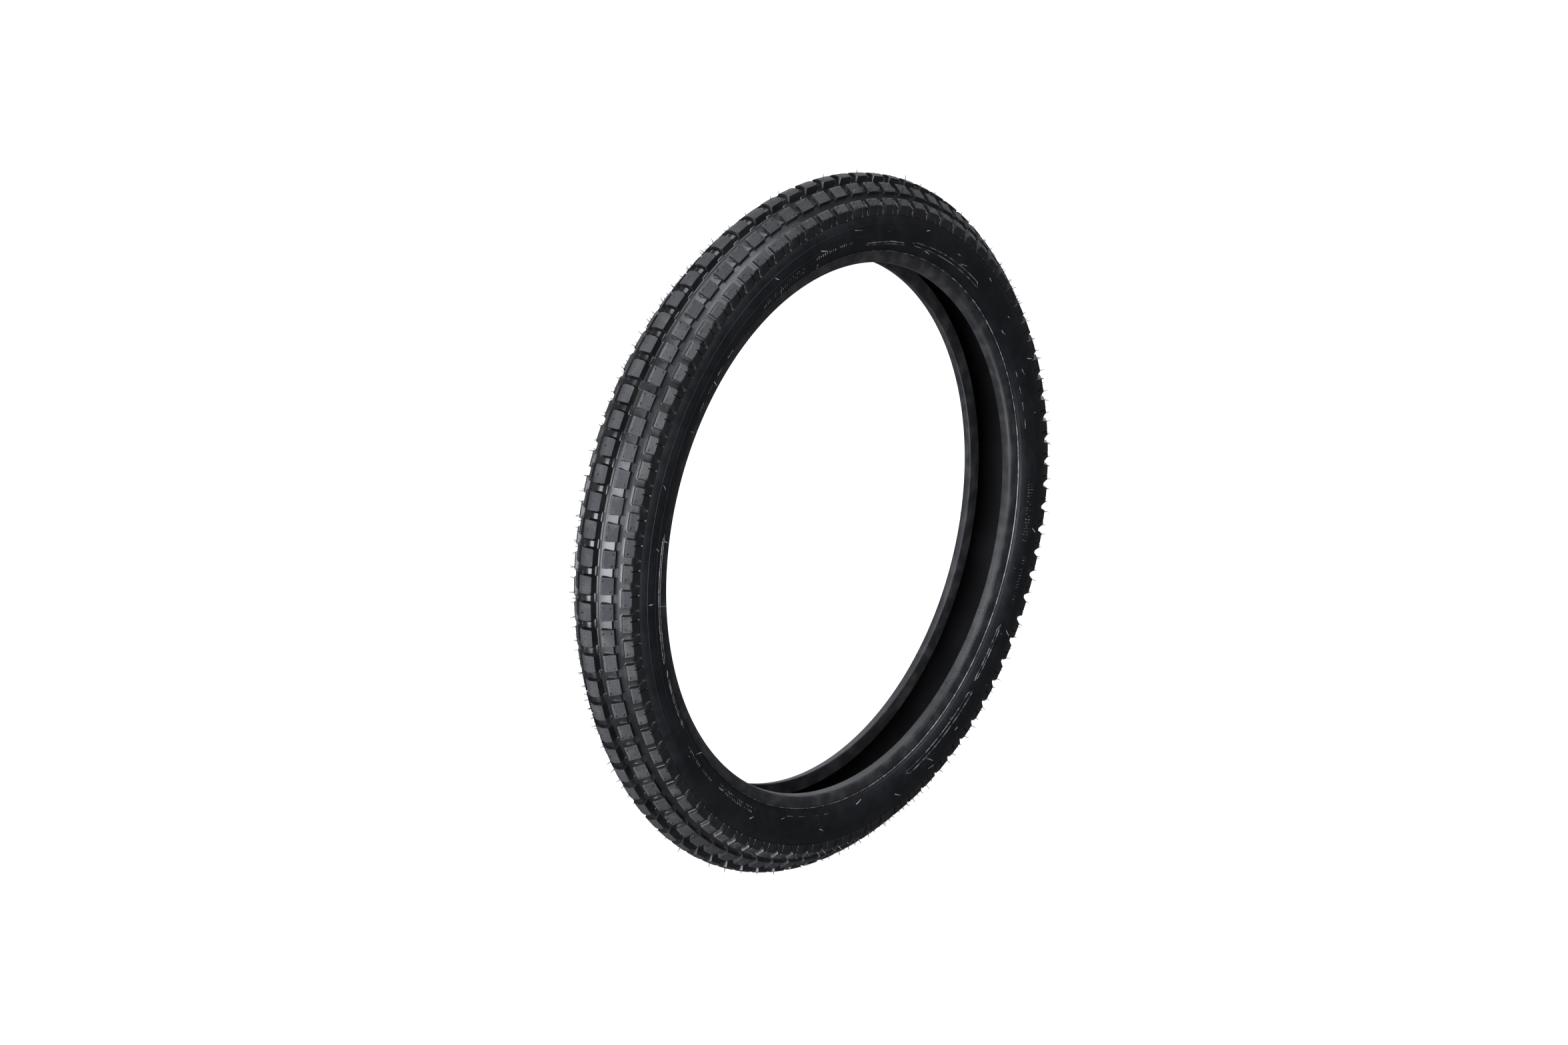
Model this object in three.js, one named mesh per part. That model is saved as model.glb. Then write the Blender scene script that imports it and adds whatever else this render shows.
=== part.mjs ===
import * as THREE from 'three';

// Tyre for a light motorcycle, size class 2.75-18: bias ply, made to be used with a tube.
// The wheel axis is +Y, +Z is up and the origin is the middle of the tyre. Millimetres.
//
// A section is drawn in the half plane (r, u): r is the distance from the wheel axis and u the
// distance along it from the middle of the tread. A Vector2 holds r in x and u in y.

// Overall sizes.
const OUTER_RADIUS = 301;
const BEAD_RADIUS = 228;
const SECTION_WIDTH = 70.6;
const TREAD_INSET = 4.3; // the sidewall bulges this far past the tread on each side
const CROWN_RISE = 39; // from the widest place of the crown's oval up to the top of the tread
const SHOULDER_DROP = 31; // from the top of the tread down to where the sidewall starts

// Bead: the foot that sits on the rim.
const BEAD_INNER = 17.4; // the toe's face
const CORE_WIDTH = 2; // of the wire tape
const INNER_FACE_RISE = 1.95; // of the bead's inner face, above the wire core
const FLANGE_FACE_RISE = 0.45; // of the flat face against the rim flange, above the wire core
const SEAT_TAPER = 0.6;
const HEEL_CHAMFER = 4;
const HOOPS = 3; // turns of wire tape in each bead core
const HOOP_HEIGHT = 1.3;

// Casing: the oval of the air space and the thickness of each layer.
const WAIST_HEIGHT = 31; // of the widest place of the air space, above the bead toe
const WALL = 6.3; // sidewall and plies together, at the waist
const LINER = 0.7;
const PLY = 0.6;
const BREAKER = 0.5;
const CUSHION = 0.8;
const CHAFER = 0.7;
const WRAP = 0.4;
const FILLER_TIP = 0.8;
const GAP = 0.3; // between neighbouring pieces

// Tread: five rows of blocks. Distances across are measured along the crown from its middle.
const PITCHES = 84;
const GROOVE_DEPTH = 6.5;
const SHOULDER_DEPTH = 4.3;
const TREAD_BASE = 1.9; // rubber left under the grooves at the crown
const CENTRE_BLOCK = [-6.2, 6.2];
const MIDDLE_BLOCK = [14.5, 25.5];
const SHOULDER_BLOCK = [31.5, 42];
const DRAFT = 0.8; // a block's foot reaches this much past its top, across the tread
const TOP_LENGTH = 0.62; // a block's length along the tread, as a share of the pitch
const FOOT_LENGTH = 0.74;
const TIP_LENGTH = 0.92; // where a shoulder block runs out into the sidewall

const FACETS = 28; // flats round each ring; their corners lie on the true circle
const TURN = 2 * Math.PI;

const treadRubber = new THREE.MeshStandardMaterial({ color: 0x1d1d1e, roughness: 0.75 });
const wallRubber = new THREE.MeshStandardMaterial({ color: 0x161617, roughness: 0.5 });
const innerRubber = new THREE.MeshStandardMaterial({ color: 0x101011, roughness: 0.85 });
const gum = new THREE.MeshStandardMaterial({ color: 0x2a2624, roughness: 0.8 });
const nylon = new THREE.MeshStandardMaterial({ color: 0x4a443a, roughness: 0.9 });
const canvas = new THREE.MeshStandardMaterial({ color: 0x1b1a19, roughness: 0.7 });
const wire = new THREE.MeshStandardMaterial({ color: 0xa8875a, roughness: 0.35, metalness: 1 });

const tyre = new THREE.Group();

function add(name, geometry, material) {
  const mesh = new THREE.Mesh(geometry, material);
  mesh.name = name;
  tyre.add(mesh);
}

const point = (r, u) => new THREE.Vector2(r, u);
const mirrored = (points) => points.map((p) => point(p.x, -p.y));

// The normal of the step from a to b that points away from the air space.
function outward(a, b) {
  const along = b.clone().sub(a).normalize();
  return point(along.y, -along.x);
}

// A copy of a path, moved sideways by a distance, with its corners kept sharp.
function offset(path, distance) {
  return path.map((p, i) => {
    const before = outward(path[Math.max(i - 1, 0)], path[Math.max(i, 1)]);
    const last = path.length - 1;
    const after = outward(path[Math.min(i, last - 1)], path[Math.min(i + 1, last)]);
    const corner = before.clone().add(after);
    return p.clone().addScaledVector(corner, (2 * distance) / corner.lengthSq());
  });
}

// The place at a fractional index of a path.
function along(path, index) {
  const i = Math.min(Math.floor(index), path.length - 2);
  return path[i].clone().lerp(path[i + 1], index - i);
}

// The part of a path between two fractional indices.
function stretch(path, from, to) {
  const between = path.filter((p, i) => i > from && i < to);
  return [along(path, from), ...between, along(path, to)];
}

// The fractional index where a path that starts at the crown first comes down to a radius.
function crossing(path, radius) {
  const i = path.findIndex((p, k) => k > 0 && p.x <= radius) - 1;
  return i + (path[i].x - radius) / (path[i].x - path[i + 1].x);
}

// The outline of a layer that lies between two distances from a path.
function layer(path, near, far, from = 0, to = path.length - 1) {
  const outer = stretch(offset(path, far), from, to);
  return [...outer, ...stretch(offset(path, near), from, to).reverse()];
}

// A closed outline turned round the wheel axis.
function ring(outline) {
  const area = THREE.ShapeUtils.area(outline);
  const loop = area > 0 ? outline : [...outline].reverse();
  return new THREE.LatheGeometry([...loop, loop[0]], FACETS);
}

// Distances of the layers from the air space, and from the bead's surface where they wrap it.
const innerPlyAt = LINER + GAP;
const outerPlyAt = innerPlyAt + PLY + GAP;
const casingSkin = outerPlyAt + PLY + GAP; // just outside both plies
const innerBreakerAt = casingSkin;
const outerBreakerAt = innerBreakerAt + BREAKER + GAP;
const cushionAt = outerBreakerAt + BREAKER + GAP;
const treadAt = cushionAt + CUSHION + GAP;
const coreAt = casingSkin + WRAP + GAP;

// The casing line: half of the air space's outline from the crown to the bead, then the bead's
// own surface round to the rim flange, and up the outside to where the plies end.
const beadOuter = BEAD_INNER + 2 * coreAt + CORE_WIDTH; // the face against the rim flange
const seatHeel = BEAD_RADIUS + SEAT_TAPER;
const heelLeft = HEEL_CHAMFER - coreAt * (2 - Math.SQRT2); // what the chamfer cuts off the core
const coreFoot = seatHeel + coreAt + Math.max(heelLeft, 0);
const coreTop = coreFoot + HOOPS * (HOOP_HEIGHT + GAP) - GAP;
const waistRadius = BEAD_RADIUS + WAIST_HEIGHT;
const waistWidth = SECTION_WIDTH / 2 - WALL;
const airRise = OUTER_RADIUS - GROOVE_DEPTH - TREAD_BASE - treadAt - waistRadius;
const beadTop = coreTop + INNER_FACE_RISE;
const flangeTop = coreTop + FLANGE_FACE_RISE;

const [HAUNCH, WAIST, KNEE, BEAD_TOP, FLANGE_TOP] = [1, 3, 4, 5, 9];

const crownArc = new THREE.EllipseCurve(
  waistRadius, 0, airRise, waistWidth, 0, Math.PI / 2).getPoints(WAIST);
const lowerWall = new THREE.QuadraticBezierCurve(
  point(waistRadius, waistWidth),
  point((waistRadius + beadTop) / 2, waistWidth),
  point(beadTop, BEAD_INNER));
const knee = lowerWall.getPoint(0.5);
const kneeOutward = outward(lowerWall.getPoint(0.35), lowerWall.getPoint(0.65));
const plyEnd = knee.clone().addScaledVector(kneeOutward, 2 * casingSkin + FILLER_TIP);

const beadFoot = [
  point(BEAD_RADIUS, BEAD_INNER),
  point(seatHeel, beadOuter - HEEL_CHAMFER),
  point(seatHeel + HEEL_CHAMFER, beadOuter),
];
const halfCasing = [
  ...crownArc, knee, point(beadTop, BEAD_INNER), ...beadFoot,
  point(flangeTop, beadOuter), plyEnd,
];
const CROWN = halfCasing.length - 1; // the crown's index in the whole casing line
const casing = [...mirrored(halfCasing.slice(1)).reverse(), ...halfCasing];
const plyReach = 0.25; // the outer ply's ends stop this share of a step below the inner ply's
const breakerStep = 0.12; // the outer breaker is this share of a step narrower than the inner one
const seam = 0.05; // the share of a step left between the ends of two pieces

// The outer line of one sidewall, from the tread's edge down to the rim flange.
const treadHalf = SECTION_WIDTH / 2 - TREAD_INSET;
const crown = new THREE.EllipseCurve(
  OUTER_RADIUS - CROWN_RISE, 0, CROWN_RISE, treadHalf, 0, Math.PI / 2);
const treadEdge = OUTER_RADIUS - SHOULDER_DROP;
const tipAngle = Math.acos(1 - SHOULDER_DROP / CROWN_RISE);
const tip = point(treadEdge, treadHalf * Math.sin(tipAngle));
const wallTop = treadEdge - GAP;
const wallFoot = flangeTop + GAP;
const swell = (4 * SECTION_WIDTH - tip.y - beadOuter) / 6;
const wallHeight = wallTop - wallFoot;
const wallLine = new THREE.CubicBezierCurve(
  point(wallTop, tip.y),
  point(wallTop - wallHeight / 4, swell),
  point(wallFoot + wallHeight / 6, swell),
  point(wallFoot, beadOuter));
const WALL_STEPS = 6;

function sidewall() {
  const skin = offset(halfCasing, casingSkin);
  const turnUp = offset(halfCasing, CHAFER);
  const pastEnd = along(turnUp, halfCasing.length - 1).add(
    plyEnd.clone().sub(halfCasing[FLANGE_TOP]).setLength(2 * GAP));
  const steps = turnUp[FLANGE_TOP + 1].clone().sub(turnUp[FLANGE_TOP]);
  const foot = turnUp[FLANGE_TOP].clone().addScaledVector(
    steps, (wallFoot - turnUp[FLANGE_TOP].x) / steps.x);
  return [
    ...wallLine.getPoints(WALL_STEPS), foot, pastEnd,
    ...stretch(skin, crossing(skin, wallTop), KNEE - 2 * seam).reverse(),
  ];
}

// Bead: wire hoops in a U-shaped wrap, the filler on top, and the chafer outside the plies.
function hoop(turn) {
  const foot = coreFoot + turn * (HOOP_HEIGHT + GAP);
  const [inner, outer] = [BEAD_INNER + coreAt, beadOuter - coreAt];
  return [
    point(foot, inner), point(foot, outer),
    point(foot + HOOP_HEIGHT, outer), point(foot + HOOP_HEIGHT, inner),
  ];
}

function beadWrap() {
  const path = [point(coreTop, BEAD_INNER), ...beadFoot, point(coreTop, beadOuter)];
  return layer(path, casingSkin, casingSkin + WRAP);
}

function filler() {
  const skin = offset(halfCasing, casingSkin);
  const foot = coreTop + GAP;
  return [
    point(foot, BEAD_INNER + casingSkin), skin[BEAD_TOP], skin[KNEE],
    skin[halfCasing.length - 1], skin[FLANGE_TOP], point(foot, beadOuter - casingSkin),
  ];
}

function chafer() {
  const path = [
    point(beadTop - GAP, BEAD_INNER), ...beadFoot, point(flangeTop, beadOuter)];
  return layer(path, 0, CHAFER);
}

// A place on the crown, at a distance across the tread and a depth below the block tops.
const crownLength = crown.getLength();

function onCrown(across, depth) {
  const share = Math.abs(across) / crownLength;
  const place = crown.getPointAt(share);
  const tangent = crown.getTangentAt(share);
  place.addScaledVector(point(-tangent.y, tangent.x), depth);
  return point(place.x, Math.sign(across) * place.y);
}

function grooveDepth(across) {
  const share = Math.abs(across) / SHOULDER_BLOCK[0];
  return GROOVE_DEPTH + (SHOULDER_DEPTH - GROOVE_DEPTH) * share ** 2;
}

// The tread as one closed mesh: rings of corners joined by strips, with a block on each pitch.
function tread() {
  const positions = [];
  const angles = [];
  const faces = [];

  function corner(angle, place) {
    positions.push(place.x * Math.sin(angle), place.y, place.x * Math.cos(angle));
    angles.push(angle);
    return angles.length - 1;
  }
  const quad = (a, b, c, d) => faces.push(a, b, c, a, c, d);

  // Two corners on each pitch, at the ends of a block of the given length.
  function blockRing(place, phase, length) {
    const ends = [];
    for (let i = 0; i < PITCHES; i++) {
      ends.push(corner(((i + phase - length / 2) / PITCHES) * TURN, place));
      ends.push(corner(((i + phase + length / 2) / PITCHES) * TURN, place));
    }
    return ends;
  }

  function plainRing(place) {
    return Array.from({ length: FACETS }, (_, i) => corner((i / FACETS) * TURN, place));
  }

  // Triangles between two rings, always stepping along the one that is behind.
  function strip(low, high) {
    const next = (ends, i) => angles[ends[(i + 1) % ends.length]] + (i + 1 < ends.length ? 0 : TURN);
    let [i, j] = [0, 0];
    while (i < low.length || j < high.length) {
      const a = low[i % low.length];
      const b = high[j % high.length];
      if (j === high.length || (i < low.length && next(low, i) <= next(high, j))) {
        faces.push(a, low[(i + 1) % low.length], b);
        i++;
      } else {
        faces.push(a, high[(j + 1) % high.length], b);
        j++;
      }
    }
  }

  // One row of blocks between a low and a high ring of feet.
  function blocks(low, high, lowTop, highTop) {
    for (let i = 0; i < low.length; i += 2) {
      const n = (i + 2) % low.length;
      quad(low[i], low[i + 1], lowTop[i + 1], lowTop[i]);
      quad(high[i + 1], high[i], highTop[i], highTop[i + 1]);
      quad(low[i], lowTop[i], highTop[i], high[i]);
      quad(low[i + 1], high[i + 1], highTop[i + 1], lowTop[i + 1]);
      quad(lowTop[i], lowTop[i + 1], highTop[i + 1], highTop[i]);
      quad(low[i + 1], low[n], high[n], high[i + 1]);
    }
  }

  const foot = (across) => onCrown(across, grooveDepth(across));
  const rows = [
    { span: [-SHOULDER_BLOCK[1], -SHOULDER_BLOCK[0]], phase: 0.5 },
    { span: [-MIDDLE_BLOCK[1], -MIDDLE_BLOCK[0]], phase: 0 },
    { span: CENTRE_BLOCK, phase: 0 },
    { span: MIDDLE_BLOCK, phase: 0 },
    { span: SHOULDER_BLOCK, phase: 0.5 },
  ];
  const feet = rows.map(({ span: [low, high], phase }, i) => {
    const lowEnd = i === 0
      ? blockRing(point(tip.x, -tip.y), phase, TIP_LENGTH)
      : blockRing(foot(low - DRAFT), phase, FOOT_LENGTH);
    const highEnd = i === rows.length - 1
      ? blockRing(tip, phase, TIP_LENGTH)
      : blockRing(foot(high + DRAFT), phase, FOOT_LENGTH);
    const tops = [low, high].map((across) => blockRing(onCrown(across, 0), phase, TOP_LENGTH));
    blocks(lowEnd, highEnd, ...tops);
    return [lowEnd, highEnd];
  });
  for (let i = 1; i < rows.length; i++) strip(feet[i - 1][1], feet[i][0]);

  // The inner side: over the cushion, down a step beside it, and out to the tread's edge.
  const overCushion = offset(casing, treadAt).slice(CROWN);
  const skin = offset(casing, casingSkin).slice(CROWN);
  const inner = [
    ...stretch(skin, HAUNCH + seam, crossing(skin, treadEdge)).reverse(),
    along(overCushion, HAUNCH + seam), overCushion[HAUNCH],
  ];
  const inside = [...inner, overCushion[0], ...mirrored(inner).reverse()].map(plainRing);
  const loop = [feet.at(-1)[1], ...inside, feet[0][0]];
  for (let i = 1; i < loop.length; i++) strip(loop[i - 1], loop[i]);

  const geometry = new THREE.BufferGeometry();
  geometry.setAttribute('position', new THREE.Float32BufferAttribute(positions, 3));
  geometry.setIndex(faces);
  geometry.computeVertexNormals();
  return geometry;
}

// A layer that runs from one side to the other, to the same place on both.
function across(near, thickness, reach) {
  return ring(layer(casing, near, near + thickness, CROWN - reach, CROWN + reach));
}

add('tread', tread(), treadRubber);
add('tread_cushion', across(cushionAt, CUSHION, HAUNCH), gum);
add('breaker_outer', across(outerBreakerAt, BREAKER, HAUNCH - breakerStep), nylon);
add('breaker_inner', across(innerBreakerAt, BREAKER, HAUNCH), nylon);
add('carcass_ply_outer', across(outerPlyAt, PLY, CROWN - plyReach), nylon);
add('carcass_ply_inner', across(innerPlyAt, PLY, CROWN), nylon);
add('inner_liner', across(0, LINER, BEAD_TOP - seam), innerRubber);

for (const [side, flip] of [['left', (p) => p], ['right', mirrored]]) {
  add(`sidewall_${side}`, ring(flip(sidewall())), wallRubber);
  add(`bead_filler_${side}`, ring(flip(filler())), gum);
  add(`bead_wrap_${side}`, ring(flip(beadWrap())), canvas);
  add(`chafer_${side}`, ring(flip(chafer())), canvas);
  for (let turn = 0; turn < HOOPS; turn++) {
    add(`bead_wire_${side}_${turn + 1}`, ring(flip(hoop(turn))), wire);
  }
}

export default tyre;
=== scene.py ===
import math
import random

import bpy
import numpy as np
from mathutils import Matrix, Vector


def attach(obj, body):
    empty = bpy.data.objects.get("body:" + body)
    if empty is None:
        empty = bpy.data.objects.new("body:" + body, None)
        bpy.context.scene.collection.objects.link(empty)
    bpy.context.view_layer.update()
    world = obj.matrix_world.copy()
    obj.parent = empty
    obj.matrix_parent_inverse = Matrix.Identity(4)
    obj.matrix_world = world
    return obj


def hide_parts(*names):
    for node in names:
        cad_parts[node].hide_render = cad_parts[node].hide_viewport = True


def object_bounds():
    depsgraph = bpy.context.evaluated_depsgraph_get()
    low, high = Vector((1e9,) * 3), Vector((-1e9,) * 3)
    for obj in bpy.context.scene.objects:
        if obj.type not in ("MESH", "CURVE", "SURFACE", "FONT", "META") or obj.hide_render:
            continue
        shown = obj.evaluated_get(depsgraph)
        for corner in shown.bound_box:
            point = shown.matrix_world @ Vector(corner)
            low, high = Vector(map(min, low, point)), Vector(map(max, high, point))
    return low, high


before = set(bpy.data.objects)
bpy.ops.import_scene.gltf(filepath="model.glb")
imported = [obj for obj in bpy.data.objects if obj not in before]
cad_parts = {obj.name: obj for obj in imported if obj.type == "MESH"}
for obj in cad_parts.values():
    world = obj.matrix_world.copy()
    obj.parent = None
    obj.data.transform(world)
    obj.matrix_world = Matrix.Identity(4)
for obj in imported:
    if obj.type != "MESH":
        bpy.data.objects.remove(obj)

# A narrow motorcycle tyre, standing bare on a pale floor. The wheel axis is +Y and +Z is up.
#
# Lengths are millimetres until a mesh is made. A section is drawn in the half plane (r, u): r is
# the distance from the wheel axis and u the distance along it from the middle of the tread.

cad_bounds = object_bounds()

MM = 0.001
TURN = 2 * math.pi
SIDES = {"left": 1, "right": -1}

# Overall sizes.
OUTER_RADIUS = 301
BEAD_RADIUS = 228
SECTION_WIDTH = 70.6
TREAD_INSET = 4.1  # the sidewall bulges this far past the shoulder blocks on each side
CROWN_DROP = 23  # from the top of the tread down to the outer edge of its shoulder blocks
CROWN_BEND = 0.28  # how round the middle of the crown is, as a share of its half width
SHOULDER_DROP = 31  # from the top of the tread down to where the sidewall starts
SHOULDER_FLARE = 0.5  # of the shoulder blocks' outer walls
TREAD_POLE = 255  # grooves are cut towards this radius, in the middle plane

# Bead.
BEAD_INNER = 17.4
CORE_WIDTH = 2
INNER_FACE_RISE = 1.95
FLANGE_FACE_RISE = 0.45
SEAT_TAPER = 0.6
HEEL_ROUND = 4
TOE_ROUND = 1.2
HOOPS = 3
HOOP_HEIGHT = 1.3

# Casing.
WAIST_HEIGHT = 31
WALL = 6.3
LINER = 0.7
PLY = 0.6
BREAKER = 0.5
CUSHION = 0.8
CHAFER = 0.7
WRAP = 0.4
FILLER_TIP = 0.8
GAP = 0.3

# Tread: five rows of blocks. Distances across are measured along the crown from its middle, and
# lengths along the tread are shares of the pitch, from the middle of a block.
PITCHES = 84
GROOVE_DEPTH = 6.5
SHOULDER_DEPTH = 3.2
TREAD_BASE = 1.9
CENTRE_TOP = 6.6
MIDDLE_TOP = (14.0, 24.6)
SHOULDER_INNER = 31.6
DRAFT = 0.55
TOP_END = 0.328
TIP_END = 0.46

COLUMNS = 20  # of mesh along one pitch
PIECE_FACETS = 336
HIDDEN_FACETS = 168

random.seed(18)


# ---------------------------------------------------------------- sections

def ellipse(centre, rise, width, end, steps):
    """A quarter oval, or less, from the top at (centre + rise, 0) down to an angle."""
    angle = np.linspace(0, end, steps + 1)
    return np.stack([centre + rise * np.cos(angle), width * np.sin(angle)], 1)


def bezier(points, steps):
    t = np.linspace(0, 1, steps + 1)[:, None]
    n = len(points) - 1
    return sum(math.comb(n, k) * t**k * (1 - t)**(n - k) * np.array(p) for k, p in enumerate(points))


def normals(path):
    """Unit normals of a path's steps, pointing away from the air space."""
    step = np.diff(path, axis=0)
    step = step / np.linalg.norm(step, axis=1)[:, None]
    return np.stack([step[:, 1], -step[:, 0]], 1)


def offset(path, distance):
    """A copy of a path moved sideways, with its corners kept sharp."""
    n = normals(path)
    corner = np.vstack([n[:1], n]) + np.vstack([n, n[-1:]])
    return path + corner * (2 * distance / (corner**2).sum(1))[:, None]


def along(path, index):
    i = min(int(index), len(path) - 2)
    return path[i] + (path[i + 1] - path[i]) * (index - i)


def stretch(path, start, end):
    """The part of a path between two fractional indices."""
    between = [p for i, p in enumerate(path) if start < i < end]
    return np.array([along(path, start), *between, along(path, end)])


def crossing(path, radius):
    """The fractional index where a path that starts at the crown first comes down to a radius."""
    i = next(k for k in range(1, len(path)) if path[k][0] <= radius) - 1
    return i + (path[i][0] - radius) / (path[i][0] - path[i + 1][0])


def layer(path, near, far, start=0, end=None):
    """The outline of a layer that lies between two distances from a path."""
    end = len(path) - 1 if end is None else end
    outer = stretch(offset(path, far), start, end)
    return np.vstack([outer, stretch(offset(path, near), start, end)[::-1]])


def mirrored(path):
    return path * [1, -1]


inner_ply_at = LINER + GAP
outer_ply_at = inner_ply_at + PLY + GAP
casing_skin = outer_ply_at + PLY + GAP
inner_breaker_at = casing_skin
outer_breaker_at = inner_breaker_at + BREAKER + GAP
cushion_at = outer_breaker_at + BREAKER + GAP
tread_at = cushion_at + CUSHION + GAP
core_at = casing_skin + WRAP + GAP

bead_outer = BEAD_INNER + 2 * core_at + CORE_WIDTH
seat_heel = BEAD_RADIUS + SEAT_TAPER
heel_left = HEEL_ROUND - core_at * (2 - math.sqrt(2))
core_foot = seat_heel + core_at + max(heel_left, 0)
core_top = core_foot + HOOPS * (HOOP_HEIGHT + GAP) - GAP
waist_radius = BEAD_RADIUS + WAIST_HEIGHT
waist_width = SECTION_WIDTH / 2 - WALL
air_rise = OUTER_RADIUS - GROOVE_DEPTH - TREAD_BASE - tread_at - waist_radius
bead_top = core_top + INNER_FACE_RISE
flange_top = core_top + FLANGE_FACE_RISE

# The casing line: the air space from the crown to the bead, round the bead, and up its outside.
CROWN_STEPS = 30
LOWER_STEPS = 12
HAUNCH = CROWN_STEPS / 3
WAIST = CROWN_STEPS
KNEE = WAIST + LOWER_STEPS / 2
BEAD_TOP = WAIST + LOWER_STEPS
FLANGE_TOP = BEAD_TOP + 4
seam = 0.5

lower_wall = bezier([(waist_radius, waist_width),
                     ((waist_radius + bead_top) / 2, waist_width),
                     (bead_top, BEAD_INNER)], LOWER_STEPS)
knee = lower_wall[LOWER_STEPS // 2]
knee_outward = normals(lower_wall[[LOWER_STEPS // 2 - 2, LOWER_STEPS // 2 + 2]])[0]
ply_end = knee + knee_outward * (2 * casing_skin + FILLER_TIP)
bead_foot = np.array([
    (BEAD_RADIUS, BEAD_INNER),
    (seat_heel, bead_outer - HEEL_ROUND),
    (seat_heel + HEEL_ROUND, bead_outer)])
half_casing = np.vstack([
    ellipse(waist_radius, air_rise, waist_width, math.pi / 2, CROWN_STEPS), lower_wall[1:],
    bead_foot, [(flange_top, bead_outer)], [ply_end]])
CROWN = len(half_casing) - 1
casing = np.vstack([mirrored(half_casing[:0:-1]), half_casing])

# The outer line: over the block tops to the tread's edge, and down the sidewall.
CONE_POINTS = 300
shoulder_half = SECTION_WIDTH / 2 - TREAD_INSET
tread_edge = OUTER_RADIUS - SHOULDER_DROP
tip = np.array([tread_edge, shoulder_half + SHOULDER_FLARE])


def crown_line():
    """Half of the tread's outline: a cone with a round middle, then the shoulder blocks' outer wall."""
    u = np.linspace(0, shoulder_half, CONE_POINTS)
    drop = np.hypot(u / shoulder_half, CROWN_BEND) - CROWN_BEND
    r = OUTER_RADIUS - CROWN_DROP * drop / (math.hypot(1, CROWN_BEND) - CROWN_BEND)
    cone = np.stack([r, u], 1)
    share = np.linspace(0, 1, 40)[1:, None]
    return np.vstack([cone, cone[-1] + (tip - cone[-1]) * share])


crown = crown_line()
crown_at = np.concatenate([[0], np.cumsum(np.linalg.norm(np.diff(crown, axis=0), axis=1))])
tip_at = crown_at[-1]
SHOULDER_TOP = (SHOULDER_INNER, tip_at - math.dist(tip, crown[CONE_POINTS - 1]))
wall_top = tread_edge - GAP
wall_foot = flange_top + GAP
wall_height = wall_top - wall_foot
swell = (4 * SECTION_WIDTH - tip[1] - bead_outer) / 6
wall_line = bezier([(wall_top, tip[1]), (wall_top - wall_height / 4, swell),
                    (wall_foot + wall_height / 6, swell), (wall_foot, bead_outer)], 64)
wall_at = np.concatenate([[0], np.cumsum(np.linalg.norm(np.diff(wall_line, axis=0), axis=1))])


def on_crown(across, depth=0.0):
    """Places (r, u) on the crown, at distances across the tread and depths below the block tops."""
    size, side = np.abs(across), np.where(np.asarray(across) < 0, -1, 1)
    r = np.interp(size, crown_at, crown[:, 0])
    u = np.interp(size, crown_at, crown[:, 1])
    away = np.hypot(r - TREAD_POLE, u)
    return r - (r - TREAD_POLE) / away * depth, side * (u - u / away * depth)


def on_wall(down, lift=0.0):
    """Places (r, u) on a sidewall, at distances down from the tread's edge, lifted off it."""
    r = np.interp(down, wall_at, wall_line[:, 0])
    u = np.interp(down, wall_at, wall_line[:, 1])
    n = normals(wall_line)
    middle = (wall_at[1:] + wall_at[:-1]) / 2
    return r + np.interp(down, middle, n[:, 0]) * lift, u + np.interp(down, middle, n[:, 1]) * lift


def turned(r, u, angle):
    """Points in space from places in the section and angles round the axis, 0 at +X, +Z at a quarter."""
    return np.stack(np.broadcast_arrays(r * np.cos(angle), u, r * np.sin(angle)), -1)


# ---------------------------------------------------------------- meshes

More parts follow.
